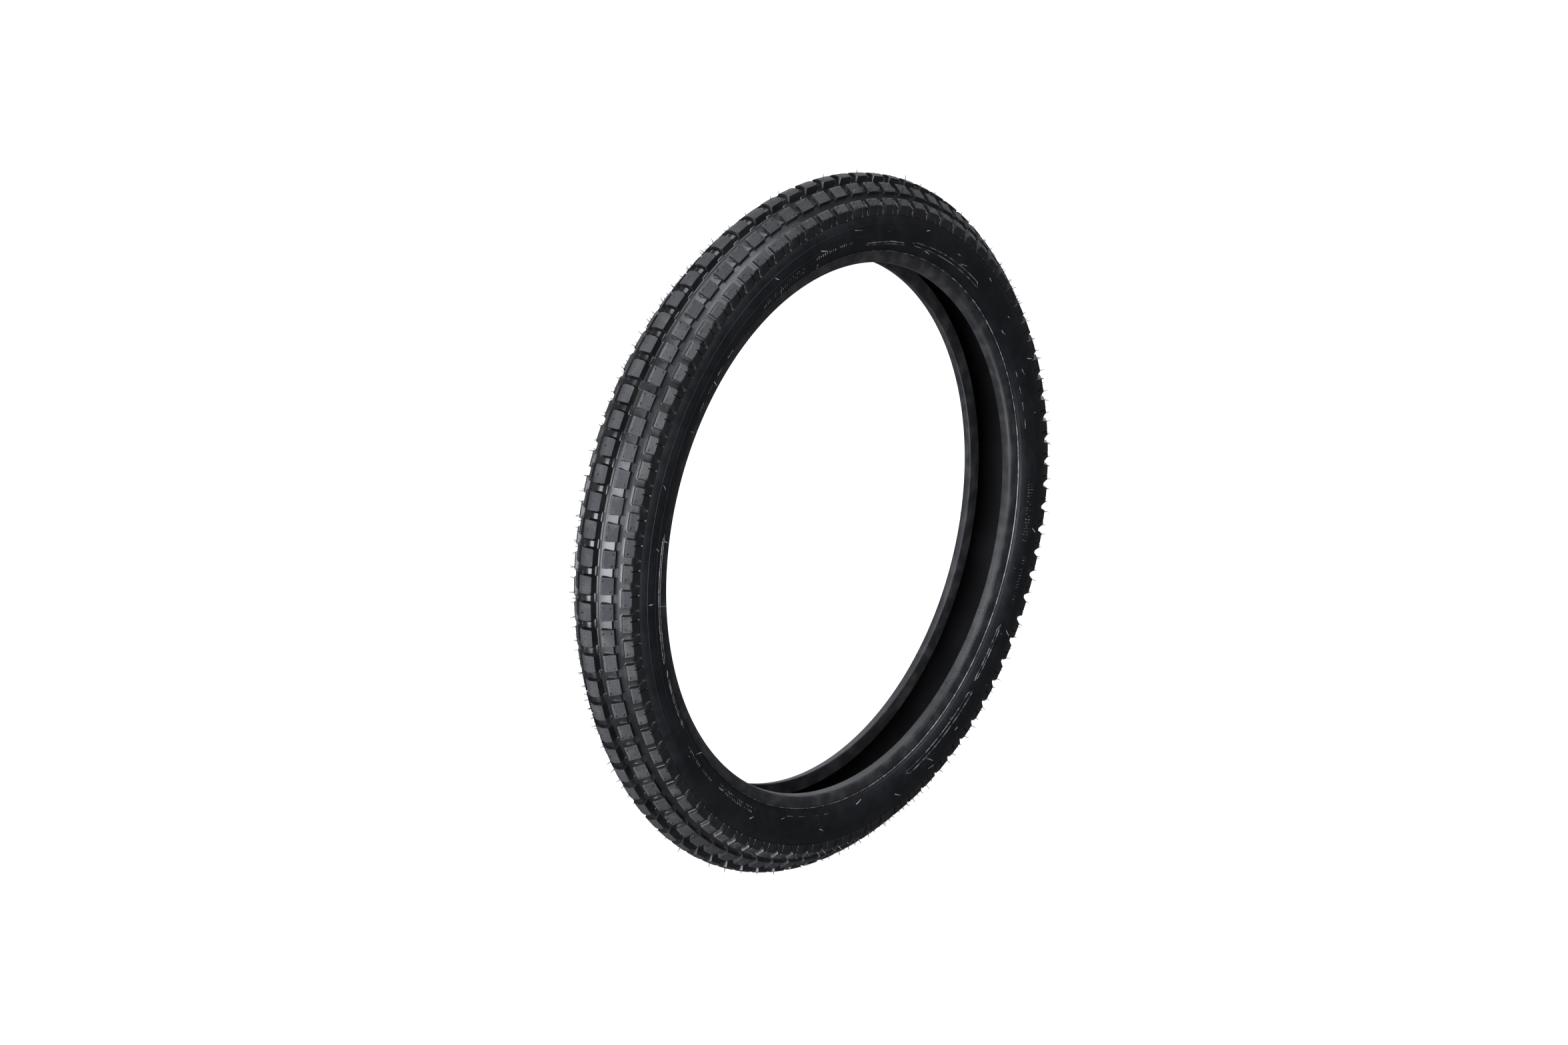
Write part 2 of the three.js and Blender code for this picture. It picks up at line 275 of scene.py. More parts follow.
class Soup:
    """Faces gathered from several shapes, with pattern coordinates in millimetres."""

    def __init__(self):
        self.points, self.faces, self.pattern, self.materials = [], [], [], []
        self.count = 0

    def add(self, points, faces, pattern, material=0):
        """pattern gives a pair for each corner of each face; material is an index or one per face."""
        self.points.append(np.asarray(points, float))
        self.faces.append(np.asarray(faces, int) + self.count)
        self.pattern.append(np.asarray(pattern, float).reshape(-1, 2))
        self.materials.append(np.broadcast_to(material, len(faces)))
        self.count += len(points)

    def grid(self, points, pattern, material=0, closed=False):
        """Quads over rows and columns of points; the columns go round, and so may the rows.
        pattern has one column more than points, and one row more where the rows go round."""
        rows, columns = points.shape[:2]
        i, j = np.meshgrid(np.arange(rows if closed else rows - 1), np.arange(columns), indexing="ij")
        corner = [(i, j), (i, j + 1), (i + 1, j + 1), (i + 1, j)]
        faces = np.stack([a % rows * columns + b % columns for a, b in corner], -1)
        spots = np.stack([pattern[a, b] for a, b in corner], -2)
        material = np.broadcast_to(material, faces.shape[:2])
        self.add(points.reshape(-1, 3), faces.reshape(-1, 4), spots, material.ravel())

    def tube(self, rings, material=0):
        """A closed tube through rings of points; the last ring may be a point of its own."""
        rings = np.asarray(rings, float)
        n, sides = rings.shape[:2]
        faces = [[i * sides + j, i * sides + (j + 1) % sides,
                  (i + 1) * sides + (j + 1) % sides, (i + 1) * sides + j]
                 for i in range(n - 1) for j in range(sides)]
        self.add(rings.reshape(-1, 3), faces, np.zeros((len(faces), 4, 2)), material)
        for ring, turn in ((0, -1), (n - 1, 1)):
            cap = [ring * sides + j for j in range(sides)][::turn]
            fan = [[cap[0], cap[j], cap[j + 1], cap[j + 1]] for j in range(1, sides - 1)]
            self.faces.append(np.asarray(fan) + self.count - len(rings.reshape(-1, 3)))
            self.pattern.append(np.zeros((len(fan) * 4, 2)))
            self.materials.append(np.broadcast_to(material, len(fan)))

    def mesh(self, name, crease=38):
        """The shapes as one mesh, in metres, with its faces pointing out."""
        points = np.vstack(self.points) * MM
        faces = np.vstack(self.faces)
        pattern = np.vstack(self.pattern).reshape(len(faces), 4, 2)
        triangle = faces[:, 2] == faces[:, 3]
        loops = [f[:3] if t else f for f, t in zip(faces.tolist(), triangle)]
        mesh = bpy.data.meshes.new(name)
        mesh.from_pydata(points.tolist(), [], loops)
        keep = np.ones((len(faces), 4), bool)
        keep[triangle, 3] = False
        pattern_map = mesh.uv_layers.new(name="pattern")
        pattern_map.uv.foreach_set("vector", pattern[keep].astype(np.float32).ravel())
        mesh.polygons.foreach_set("material_index", np.concatenate(self.materials).astype(np.int32))
        mesh.polygons.foreach_set("use_smooth", np.ones(len(faces), bool))
        mesh.set_sharp_from_angle(angle=math.radians(crease))
        return mesh


def shown(name, mesh, materials, replaced):
    """Puts a piece in the scene: it rides on the tyre's one body and stands for a CAD node."""
    for material in materials:
        mesh.materials.append(material)
    piece = bpy.data.objects.new(name, mesh)
    bpy.context.scene.collection.objects.link(piece)
    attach(piece, "root")
    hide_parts(replaced)


def lathe(soup, outline, facets):
    """A closed outline turned round the wheel axis."""
    r, u = outline.T
    area = (r * np.roll(u, -1) - u * np.roll(r, -1)).sum()
    if area > 0:
        outline = outline[::-1]
        r, u = outline.T
    angle = np.arange(facets + 1) / facets * TURN
    length = np.linalg.norm(np.roll(outline, -1, 0) - outline, axis=1)
    run = np.concatenate([[0], np.cumsum(length)])
    pattern = np.stack(np.broadcast_arrays(angle * OUTER_RADIUS, run[:, None]), -1)
    points = turned(r[:, None], u[:, None], angle[None, :-1])
    soup.grid(points, pattern, closed=True)


def ring(name, outline, slot, material, facets=HIDDEN_FACETS):
    soup = Soup()
    lathe(soup, outline, facets)
    shown(name + "_piece", soup.mesh(name), [material], name)


# ---------------------------------------------------------------- materials

class Finish:
    """A material with one Principled shader, and short ways to make its nodes."""

    def __init__(self, name, colour, roughness, specular=0.5):
        self.material = bpy.data.materials.new(name)
        self.material.use_nodes = True
        self.tree = self.material.node_tree
        self.shader = self.tree.nodes["Principled BSDF"]
        self.shader.inputs["Base Color"].default_value = (*colour, 1)
        self.shader.inputs["Roughness"].default_value = roughness
        self.shader.inputs["Specular IOR Level"].default_value = specular
        self.normal = None

    def node(self, kind, **settings):
        node = self.tree.nodes.new("ShaderNode" + kind)
        for name, value in settings.items():
            setattr(node, name, value)
        return node

    def put(self, socket, value):
        """Links a socket to another, or sets its value."""
        if isinstance(value, bpy.types.NodeSocket):
            self.tree.links.new(value, socket)
        else:
            socket.default_value = value

    def math(self, operation, *values):
        node = self.node("Math", operation=operation)
        for socket, value in zip(node.inputs, values):
            self.put(socket, value)
        return node.outputs[0]

    def pattern(self):
        """The distances along and across the piece, in millimetres."""
        spot = self.node("UVMap", uv_map="pattern").outputs[0]
        split = self.node("SeparateXYZ")
        self.put(split.inputs[0], spot)
        return split.outputs[0], split.outputs[1]

    def noise(self, size, detail=3.0, stretch=(1, 1, 1), rough=0.5):
        """Cloudy values whose spots are about a given size in millimetres, in space."""
        place = self.node("TexCoord").outputs["Object"]
        mapping = self.node("Mapping")
        self.put(mapping.inputs["Vector"], place)
        mapping.inputs["Scale"].default_value = [s / (size * MM) for s in stretch]
        node = self.node("TexNoise")
        self.put(node.inputs["Vector"], mapping.outputs[0])
        node.inputs["Scale"].default_value = 1.0
        node.inputs["Detail"].default_value = detail
        node.inputs["Roughness"].default_value = rough
        return node.outputs["Fac"]

    def ramp(self, value, low, high, start=0.0, end=1.0):
        """value, rising from start to end as it goes from low to high."""
        node = self.node("MapRange", interpolation_type="SMOOTHSTEP")
        for socket, number in zip(node.inputs, (value, low, high, start, end)):
            self.put(socket, number)
        return node.outputs[0]

    def mix(self, share, first, second):
        node = self.node("Mix", data_type="RGBA")
        self.put(node.inputs["Factor"], share)
        for socket, colour in ((node.inputs[6], first), (node.inputs[7], second)):
            self.put(socket, colour if isinstance(colour, bpy.types.NodeSocket) else (*colour, 1))
        return node.outputs[2]

    def colour(self, value):
        self.put(self.shader.inputs["Base Color"], value)

    def rough(self, value):
        self.put(self.shader.inputs["Roughness"], value)

    def bump(self, height, depth, strength=1.0):
        """Adds relief of a depth in millimetres."""
        node = self.node("Bump")
        node.inputs["Distance"].default_value = depth * MM
        node.inputs["Strength"].default_value = strength
        self.put(node.inputs["Height"], height)
        if self.normal is not None:
            self.put(node.inputs["Normal"], self.normal)
        self.normal = node.outputs[0]
        self.put(self.shader.inputs["Normal"], self.normal)


def block_top_rubber():
    """The knurled tops of the blocks: two crossed families of fine ribs, with pale scuffs, and painted shade
    that darkens the valleys between the ribs.
    """
    finish = Finish("block_top_rubber", (0.04, 0.04, 0.041), 0.6, 0.45)
    x, y = finish.pattern()
    pitch = 1.25
    ribs = [finish.math("PINGPONG", finish.math(turn, x, y), pitch / 2) for turn in ("ADD", "SUBTRACT")]
    knurl = finish.math("MAXIMUM", *ribs)
    finish.bump(finish.math("DIVIDE", knurl, pitch / 2), 0.3)
    grain = finish.noise(0.5, 4)
    finish.bump(grain, 0.05)
    scuff = finish.ramp(finish.noise(16, 5, rough=0.6), 0.52, 0.75)
    dust = finish.math("MULTIPLY", scuff, finish.ramp(knurl, pitch * 0.22, pitch * 0.5))
    patches = finish.ramp(finish.noise(60, 3), 0.4, 0.65)
    patchy = finish.mix(patches, (0.04, 0.04, 0.042), (0.062, 0.062, 0.064))
    # Painted shade: the valleys between the knurl's ribs are coloured near black, as shade would fall in
    # them.
    knurl_with_painted_shade = finish.mix(finish.ramp(knurl, pitch * 0.15, pitch * 0.45), (0.012, 0.012, 0.013), patchy)
    finish.colour(finish.mix(finish.math("MULTIPLY", dust, 0.6), knurl_with_painted_shade, (0.16, 0.145, 0.122)))
    finish.rough(finish.ramp(scuff, 0, 1, 0.55, 0.72))
    return finish.material


def moulded_rubber():
    """The walls and floors of the grooves: smooth from the mould, with faint striations."""
    finish = Finish("moulded_rubber", (0.009, 0.009, 0.0095), 0.34, 0.55)
    finish.bump(finish.noise(1.2, 3, (1, 0.3, 1)), 0.06)
    bloom = finish.ramp(finish.noise(22, 4), 0.4, 0.7)
    finish.colour(finish.mix(bloom, (0.007, 0.007, 0.0075), (0.012, 0.0118, 0.0115)))
    finish.rough(finish.ramp(bloom, 0, 1, 0.3, 0.42))
    return finish.material


def sidewall_rubber():
    """Satin black with a faint bloom, and the fine turning marks of the mould."""
    finish = Finish("sidewall_rubber", (0.006, 0.006, 0.007), 0.5, 0.32)
    y = finish.pattern()[1]
    turning = finish.math("SINE", finish.math("MULTIPLY", y, TURN / 0.8))
    finish.bump(turning, 0.008)
    finish.bump(finish.noise(3.5, 4), 0.07)
    finish.bump(finish.noise(0.6, 2), 0.02)
    bloom = finish.ramp(finish.noise(28, 5, rough=0.6), 0.38, 0.72)
    finish.colour(finish.mix(bloom, (0.0026, 0.0028, 0.0038), (0.0075, 0.0078, 0.009)))
    finish.rough(finish.ramp(finish.noise(9, 4), 0.3, 0.7, 0.44, 0.58))
    return finish.material


def glint_painted_rubber():
    """The standing edges of moulded marks and thin flash, with painted highlights: pale patches in their
    colour stand in for glints of light.
    """
    finish = Finish("glint_painted_rubber", (0.07, 0.07, 0.072), 0.38, 0.6)
    painted_glint = finish.ramp(finish.noise(7, 4, rough=0.65), 0.42, 0.62)
    finish.bump(finish.noise(0.7, 2), 0.03)
    # Painted highlight: pale patches, broken up by noise, stand in for the glints on raised marks and
    # whiskers.
    finish.colour(finish.mix(painted_glint, (0.02, 0.02, 0.022), (0.2, 0.2, 0.205)))
    finish.rough(finish.ramp(painted_glint, 0, 1, 0.4, 0.5))
    return finish.material


def chafer_cloth():
    """Rubbered cloth round the bead: fine ribs run across it, under a satin skin."""
    finish = Finish("chafer_cloth", (0.03, 0.03, 0.03), 0.5, 0.5)
    x, y = finish.pattern()
    warp = finish.math("PINGPONG", finish.math("ADD", x, y), 0.8)
    weft = finish.math("PINGPONG", finish.math("SUBTRACT", x, y), 0.8)
    finish.bump(finish.math("ADD", warp, finish.math("MULTIPLY", weft, 0.3)), 0.24)
    finish.bump(finish.noise(0.9, 3), 0.05)
    worn = finish.ramp(finish.noise(14, 4), 0.4, 0.7)
    finish.colour(finish.mix(worn, (0.018, 0.018, 0.02), (0.042, 0.041, 0.04)))
    finish.rough(finish.ramp(worn, 0, 1, 0.42, 0.56))
    return finish.material


def liner_rubber():
    """The dull inside of the casing, with the faint print of the bladder that shaped it."""
    finish = Finish("liner_rubber", (0.004, 0.004, 0.0045), 0.7, 0.12)
    x, y = finish.pattern()
    bladder_print = finish.math("PINGPONG", finish.math("ADD", x, finish.math("MULTIPLY", y, 0.6)), 2.2)
    finish.bump(bladder_print, 0.05)
    finish.bump(finish.noise(2.5, 4), 0.1)
    bloom = finish.ramp(finish.noise(40, 4), 0.4, 0.7)
    finish.colour(finish.mix(bloom, (0.003, 0.003, 0.0033), (0.006, 0.006, 0.0063)))
    return finish.material


def gum_rubber():
    """Unseen rubber between the layers: dull and slightly brown, with a torn-looking grain."""
    finish = Finish("gum_rubber", (0.035, 0.031, 0.027), 0.7, 0.4)
    grain = finish.noise(1.5, 5)
    finish.bump(grain, 0.12)
    finish.colour(finish.mix(grain, (0.028, 0.025, 0.022), (0.046, 0.04, 0.034)))
    return finish.material


def ply_cloth(name, lean):
    """Nylon cords laid side by side on the bias, dipped in rubber."""
    finish = Finish(name, (0.08, 0.07, 0.055), 0.75, 0.3)
    x, y = finish.pattern()
    cord = finish.math("PINGPONG", finish.math("ADD", x, finish.math("MULTIPLY", y, lean)), 0.5)
    finish.bump(cord, 0.3)
    finish.colour(finish.mix(finish.math("MULTIPLY", cord, 2), (0.035, 0.03, 0.025), (0.11, 0.095, 0.07)))
    return finish.material


def bronzed_wire():
    """Brass-plated steel tape, with the fine lines of drawing along it."""
    finish = Finish("bronzed_wire", (0.55, 0.42, 0.27), 0.28)
    finish.shader.inputs["Metallic"].default_value = 1
    y = finish.pattern()[1]
    strand = finish.math("PINGPONG", y, 0.5)
    finish.bump(strand, 0.2)
    finish.colour(finish.mix(finish.noise(6, 4), (0.42, 0.3, 0.18), (0.62, 0.48, 0.3)))
    return finish.material


def floor_paper(name):
    """White paper, lit from behind."""
    finish = Finish(name, (0.3, 0.3, 0.3), 0.9, 0.1)
    finish.colour(finish.mix(finish.noise(900, 2), (0.29, 0.29, 0.29), (0.31, 0.31, 0.31)))
    finish.shader.inputs["Emission Color"].default_value = (1, 1, 1, 1)
    finish.shader.inputs["Emission Strength"].default_value = 0.95
    return finish.material


# ---------------------------------------------------------------- tread

# Each row of the tread's mesh is at one distance across. Heights are shares of the groove's
# depth: a fillet at the foot of a wall, the wall, and a narrow bevel at the edge of the top.
FILLET = ((0.95, 0.0), (0.5, 0.03), (0.2, 0.12))  # reach and height
FILLET_START = 0.25  # inside the foot of the wall; the reaches are measured from here
BEVEL = 0.2  # width of the bevel, and the height of the edge below it
EDGE_HEIGHT = 0.97
TIE_HEIGHT = 0.5  # the bar between two blocks of the centre row
LINE_HEIGHT = 0.07  # the raised line along each centre groove
LINE_HALF = 0.45  # half its width
DEPTH_CHANGE = 12  # how far out the grooves go from their deep floor to their shallow one
HALF_COLUMNS = (0, 0.075, 0.15, 0.22, 0.275, 0.319, TOP_END, 0.354, 0.368, 0.4, 0.5)
SHOULDER_COLUMNS = (0, 0.014, 0.026, 0.11, 0.2, 0.319, TOP_END, 0.354, 0.368, 0.4, 0.5)
COLUMN_HEIGHTS = (1, 1, 1, 1, 1, 1, EDGE_HEIGHT, 0.12, 0.03, 0, 0)
SLIT_DEPTH = 1.3  # in the outer wall of a shoulder block
SLIT_SHIFT = 0.11  # of the slit from the block's middle, as a share of the pitch


def wall_rows(top, outward_side):
    """Rows up the wall of a block whose top ends at `top`: distances across and heights."""
    foot = top + outward_side * DRAFT
    rows = [(foot + outward_side * (reach - FILLET_START), height) for reach, height in FILLET]
    return rows + [(top, EDGE_HEIGHT), (top - outward_side * BEVEL, 1)]


def block_rows(low, high, steps):
    """Rows from the floor over a block to the floor on its other side."""
    rise = wall_rows(low, -1)
    fall = wall_rows(high, 1)[::-1]
    inside = np.linspace(low + BEVEL, high - BEVEL, steps + 1)[1:-1]
    return rise + [(s, 1) for s in inside] + fall


def tread_rows():
    """(distance across, height, kind of row) from the crown's middle out to the tread's edge."""
    line = (CENTRE_TOP + MIDDLE_TOP[0]) / 2 - 0.4
    border = (MIDDLE_TOP[1] + SHOULDER_TOP[0]) / 2
    centre = [row for row in block_rows(-CENTRE_TOP, CENTRE_TOP, 8) if row[0] > -1e-6]
    rows = [(s, h, "centre") for s, h in centre]
    rows += [(line - LINE_HALF, 0, "centre"), (line, LINE_HEIGHT, "centre"), (line + LINE_HALF, 0, "middle")]
    rows += [(s, h, "middle") for s, h in block_rows(*MIDDLE_TOP, 6)]
    rows += [(border, 0, "border")]
    shoulder = wall_rows(SHOULDER_TOP[0], -1)
    edge = SHOULDER_TOP[1]
    inside = np.linspace(SHOULDER_TOP[0] + BEVEL, edge - BEVEL, 6)[1:]
    outside = np.linspace(edge + BEVEL, tip_at, 8)
    shoulder += [(s, 1) for s in (*inside, *outside)]
    return rows + [(s, h, "shoulder") for s, h in shoulder]


def groove_depth(across):
    """Depth of the grooves' floor, which rises to nothing at the tread's edge."""
    size = abs(across)
    depth = GROOVE_DEPTH + (SHOULDER_DEPTH - GROOVE_DEPTH) * smooth((size - CENTRE_TOP) / DEPTH_CHANGE)
    past_edge = max(size - SHOULDER_TOP[1], 0) / (tip_at - SHOULDER_TOP[1])
    return depth * (1 - past_edge**2)


def smooth(x):
    x = np.clip(x, 0, 1)
    return x * x * (3 - 2 * x)


def column_places(kind, across):
    """Shares of the pitch of one pitch's columns in a row of the tread."""
    half = np.array(SHOULDER_COLUMNS if kind == "shoulder" else HALF_COLUMNS)
    if kind == "border":
        half = np.linspace(0, 0.5, len(half))
    if kind == "shoulder":
        out = smooth((across - SHOULDER_TOP[1]) / (tip_at - SHOULDER_TOP[1]))
        widened = np.interp(half, (0, TOP_END, 0.4, 0.5), (0, TIP_END, 0.49, 0.5))
        half = half + (widened - half) * out
    if kind == "centre":
        half = half * (1 - 0.1 * smooth((across - CENTRE_TOP + 1.6) / 1.6) * (half > 0.28) * (half < 0.45))
    if kind == "middle":
        cut = 0.16 * smooth((across - MIDDLE_TOP[1] + 1.5) / 2.5)
        half = half * (1 - cut * (half > TOP_END + 0.01) * (half < 0.45))
    places = np.concatenate([-half[:0:-1], half[:-1]])
    if kind == "shoulder":
        places = places - SLIT_SHIFT * np.clip(1 - (places / TOP_END)**2, 0, 1)
    return places


def column_heights(kind, across, height):
    """Heights above the groove's floor of one pitch's columns, as shares of its depth."""
    half = np.array(COLUMN_HEIGHTS) * height
    if kind == "border":
        half = half * 0
    if kind == "centre":
        bar = TIE_HEIGHT * (1 - smooth((across - 4.4) / 1.6)) + 0.15 * (1 - smooth((across - 7.2) / 1.2))
        half = np.maximum(half, bar * np.array([0] * 8 + [0.8, 0.97, 1]))
        if height == LINE_HEIGHT:
            half[:] = LINE_HEIGHT
    if kind == "shoulder":
        in_wall = smooth((across - SHOULDER_TOP[1] + 1.2) / 0.8) * smooth((tip_at - across) / 1.2)
        cut = SLIT_DEPTH / max(groove_depth(across), 0.5) * in_wall
        half = half - cut * np.array([1, 0.95] + [0] * 9)
    return np.concatenate([half[:0:-1], half[:-1]])


def tread_surface():
    """Rows of points over the whole tread from one edge to the other, with their patterns."""
    half = tread_rows()
    rows = [(-s, h, kind) for s, h, kind in half[:0:-1]] + half
    column = np.arange(PITCHES * COLUMNS + 1)
    points, pattern, tops = [], [], []
    for across, height, kind in rows:
        phase = COLUMNS // 2 if kind == "shoulder" else 0
        local = (column + phase) % COLUMNS
        middle = (column - local + COLUMNS // 2) / COLUMNS - 0.5
        place = column_places(kind, abs(across))
        share = column_heights(kind, abs(across), height)[local]
        angle = (middle + place[local]) / PITCHES * TURN
        depth = groove_depth(across) * (1 - share)
        r, u = on_crown(across, depth)
        points.append(turned(r, u, angle)[:-1])
        pattern.append(np.stack(np.broadcast_arrays(angle * OUTER_RADIUS, across), -1))
        on_top = (kind != "border") & (share > 0.9) & (abs(across) < SHOULDER_TOP[1])
        tops.append(on_top)
    tops = np.array(tops)
    face_top = tops[:-1, :-1] & tops[1:, :-1] & tops[:-1, 1:] & tops[1:, 1:]
    return np.array(points), np.array(pattern), np.where(face_top, 0, 1)


def tread_inside():
    """The tread's inner line: over the cushion, down a step beside it, and out to its edge."""
    over = offset(casing, tread_at)[CROWN:]
    skin = offset(casing, casing_skin)[CROWN:]
    side = np.vstack([
        stretch(skin, HAUNCH + seam, crossing(skin, tread_edge))[::-3],
        [along(over, HAUNCH + seam)], over[int(HAUNCH):0:-3]])
    return np.vstack([side, [over[0]], mirrored(side)[::-1]])


def whisker(soup, root, lean, length, width):
    """A vent whisker: a thin tapered stem of rubber that bends a little, from a point in space."""
    direction = np.asarray(lean, float) / np.linalg.norm(lean)
    side = np.cross(direction, [0.3, 0.9, 0.2])
    side /= np.linalg.norm(side)
    bend = (side * random.uniform(-1, 1) + np.cross(direction, side) * random.uniform(-1, 1)) * 0.22
    rings = []
    for share in (-0.08, 0.35, 0.7, 1.0):
        centre = root + direction * length * share + bend * length * share**2
        taper = width * (1 - 0.45 * max(share, 0))
        turn = np.arange(5) / 5 * TURN
        rings.append(centre + taper * (np.outer(np.cos(turn), side)
                                       + np.outer(np.sin(turn), np.cross(direction, side))))
    soup.tube(rings, 1)


def tread_whiskers(soup):
    """Vents stand near the corners of the blocks; most were trimmed short, some still reach out."""
    spots = [("centre", 0, 0.0)]
    spots += [("middle", a, s) for a in (-0.2, 0.2) for s in (MIDDLE_TOP[0] + 2, MIDDLE_TOP[1] - 2)]
    spots += [("shoulder", a, SHOULDER_TOP[1] - 0.7) for a in (-0.29, 0.29)]
    spots += [("shoulder", 0.2, SHOULDER_TOP[0] + 2)]
    for k in range(PITCHES):
        for kind, share, across in spots:
            for side in (1, -1) if across else (1,):
                angle = (k + share + (0.5 if kind == "shoulder" else 0)) / PITCHES * TURN
                r, u = on_crown(side * across)
                r2, u2 = on_crown(side * across, -1)
                root = turned(r, u, angle)
                out = turned(r2, u2, angle) - root
                tangent = np.array([-math.sin(angle), 0, math.cos(angle)])
                lean = out + tangent * random.uniform(-0.35, 0.35)
                long = random.random() < (0.85 if kind == "shoulder" else 0.4)
                length = random.uniform(1.6, 4.2) if long else random.uniform(0.25, 0.5)
                whisker(soup, root, lean, length, 0.4 if long else 0.5)


def tread():
    surface, pattern, material = tread_surface()
    inside = tread_inside()
    column = np.arange(PITCHES * COLUMNS + 1)
    angle = (column / COLUMNS - 0.5) / PITCHES * TURN
    under = turned(inside[:, :1], inside[:, 1:], angle[None, :-1])
    rows_under = np.arange(len(inside))[:, None] * 4.0
    under_pattern = np.stack(np.broadcast_arrays(angle * OUTER_RADIUS, rows_under), -1)
    points = np.vstack([surface, under])
    pattern = np.vstack([pattern, under_pattern, pattern[:1]])
    material = np.vstack([material, np.ones((len(inside) + 1, material.shape[1]), int)])
    soup = Soup()
    soup.grid(points[::-1], pattern[::-1], np.vstack([material[-2::-1], material[-1:]]), closed=True)
    tread_whiskers(soup)
    materials = [block_top_rubber(), moulded_rubber()]
    shown("tread_piece", soup.mesh("tread", 30), materials, "tread")


# ---------------------------------------------------------------- sidewalls

BEAD_LINE = 0.9  # a raised ring's distance from the foot of the sidewall


def wall_outline():
    """One sidewall's section: the outer line with its moulded rings, and the casing side."""
    down = np.linspace(0, wall_at[-1], 170)
    lift = np.zeros_like(down)
    total = wall_at[-1]

    def raised(at, width, height, slope=0.25):
        return height * smooth((width / 2 + slope - np.abs(down - at)) / slope)

    lift += raised(total - BEAD_LINE, 1.1, 0.75)
    lift += raised(total - 4.2, 0.6, 0.3)
    lift += raised(total - 18.5, 0.5, 0.2)
    lift += raised(7.5, 0.6, 0.2)
    r, u = on_wall(down, lift)
    skin = offset(half_casing, casing_skin)
    turn_up = offset(half_casing, CHAFER)
    end = ply_end - half_casing[FLANGE_TOP]
    past_end = turn_up[-1] + end / np.linalg.norm(end) * 2 * GAP
    step = turn_up[FLANGE_TOP + 1] - turn_up[FLANGE_TOP]
    foot = turn_up[FLANGE_TOP] + step * (wall_foot - turn_up[FLANGE_TOP][0]) / step[0]
    inner = stretch(skin, crossing(skin, wall_top), KNEE - seam)[::-1]
    return np.vstack([np.stack([r, u], 1), [foot], [past_end], inner])


def ridge(soup, side, path, width, height):
    """A raised line on a sidewall, along points of (angle in degrees, distance down)."""
    fine = [path[0]]
    for a, b in zip(path, path[1:]):
        steps = max(1, int(abs(b[0] - a[0]) / 0.7))
        fine += [(a[0] + (b[0] - a[0]) * k / steps, a[1] + (b[1] - a[1]) * k / steps)
                 for k in range(1, steps + 1)]
    spots = np.array(fine, float)
    arc = np.stack([np.radians(spots[:, 0]) * waist_radius, spots[:, 1]], 1)
    step = np.gradient(arc, axis=0)
    across = np.stack([-step[:, 1], step[:, 0]], 1) / np.linalg.norm(step, axis=1)[:, None]
    rings = []
    for spread, lift in ((-0.5, -0.3), (-0.32, height), (0.32, height), (0.5, -0.3)):
        place = arc + across * width * spread
        r, u = on_wall(place[:, 1], lift)
        rings.append(turned(r, side * u, place[:, 0] / waist_radius))
    rings = np.stack(rings, 1)
    soup.tube(rings if side > 0 else rings[:, ::-1], 1)


def dashes(soup, side, start, count, down, tall=2.2, step=0.62):
    """A row of short upright strokes, the plain stand-in for a line of small print."""
    for k in range(count):
        if random.random() < 0.16:
            continue
        angle = start + k * step
        lean = random.uniform(-0.1, 0.1)
        low = down + random.choice((0, 0, 0.7))
        ridge(soup, side, [(angle, low), (angle + lean, down + tall)], 0.55, 0.28)


def bar(soup, side, start, end, down, tall, lean=1.2):
    """A raised outline: a long box with leaning ends."""
    corners = [(start, down), (end, down), (end - lean, down + tall), (start - lean, down + tall)]
    ridge(soup, side, [*corners, corners[0]], 0.8, 0.4)


def wall_marks(soup, side):
    """Plain moulded marks in three groups round a sidewall, above a raised ring at its foot."""
    total = wall_at[-1]
    for first in range(0, 360, 30):
        # This ring is drawn in the material with painted highlights, so it shows as a bright line.
        ridge(soup, side, [(first, total - BEAD_LINE), (first + 30, total - BEAD_LINE)], 1.1, 0.9)
    for start in (45, 165, 285):
        bar(soup, side, start + 3, start + 27, total - 13.5, 3.2)
        bar(soup, side, start + 30, start + 42, total - 11.5, 2.0)
        dashes(soup, side, start + 46, 18, total - 17)
        dashes(soup, side, start + 60, 22, total - 12, 1.8)
        dashes(soup, side, start + 60, 20, total - 15.2, 1.8)
        for angle in range(start + 84, start + 100, 4):
            ridge(soup, side, [(angle, total - 8.6), (angle + 2, total - 8.6)], 0.6, 0.3)


def wall_whiskers(soup, side):
    """Vent whiskers in two rows down each sidewall, some bent over."""
    total = wall_at[-1]
    for k in range(32):
        for down in (9 + (k % 2) * 5, total - 9 - (k % 3) * 3):
            if random.random() < 0.25:
                continue
            angle = math.radians(k * 11.25 + random.uniform(-1.5, 1.5))
            r, u = on_wall(down)
            r2, u2 = on_wall(down, 1)
            root = turned(r, side * u, angle)
            out = turned(r2, side * u2, angle) - root
            forward = np.array([-math.sin(angle), 0, math.cos(angle)])
            inward = np.array([-math.cos(angle), 0, -math.sin(angle)])
            lean = out + forward * random.uniform(-1.6, 1.6) + inward * random.uniform(-0.6, 0.9)
            whisker(soup, root, lean, random.uniform(3, 6), 0.36)


def sidewall(name, side):
    soup = Soup()
    outline = wall_outline()
    lathe(soup, outline if side > 0 else mirrored(outline), PIECE_FACETS)
    wall_marks(soup, side)
    wall_whiskers(soup, side)
    # The second material, for the raised marks, the ring near the bead and the whiskers, carries painted
    # highlights.
    materials = [sidewall_rubber(), glint_painted_rubber()]
    shown(name + "_piece", soup.mesh(name), materials, name)


# ---------------------------------------------------------------- bead and inside

def arc(centre, radius, start, end, steps):
    angle = np.radians(np.linspace(start, end, steps + 1))
    return np.stack([centre[0] + radius * np.cos(angle), centre[1] + radius * np.sin(angle)], 1)


